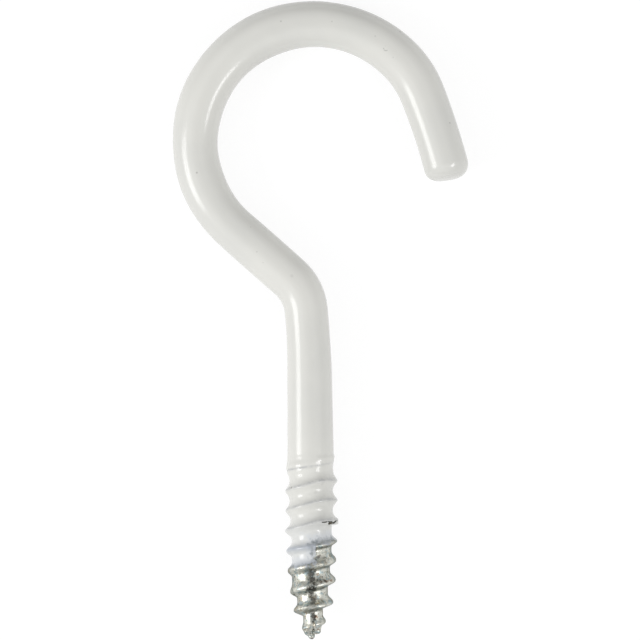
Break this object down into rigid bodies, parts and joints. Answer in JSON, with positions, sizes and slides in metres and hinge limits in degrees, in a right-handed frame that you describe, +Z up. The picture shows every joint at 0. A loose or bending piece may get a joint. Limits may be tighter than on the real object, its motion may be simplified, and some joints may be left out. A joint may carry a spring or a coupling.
{
  "type": "screw hook",
  "caption": "Open round hook of coated steel wire with a coarse wood-screw thread and a blunt point, lying flat.",
  "frame": {"origin": "on the screw's axis, where the plain shank meets the thread", "axes": "the hook lies flat: +Z up, +Y along the screw's axis towards the loop, +X towards the side of the mouth"},
  "size_m": [0.0373, 0.0799, 0.0064],
  "materials": {
    "hook": "glossy off-white plastic coat, worn off to bare zinc-plated steel on the last turns of the thread and the point"
  },
  "bodies": {
    "root": {"hook": "hook"}
  },
  "joints": []
}
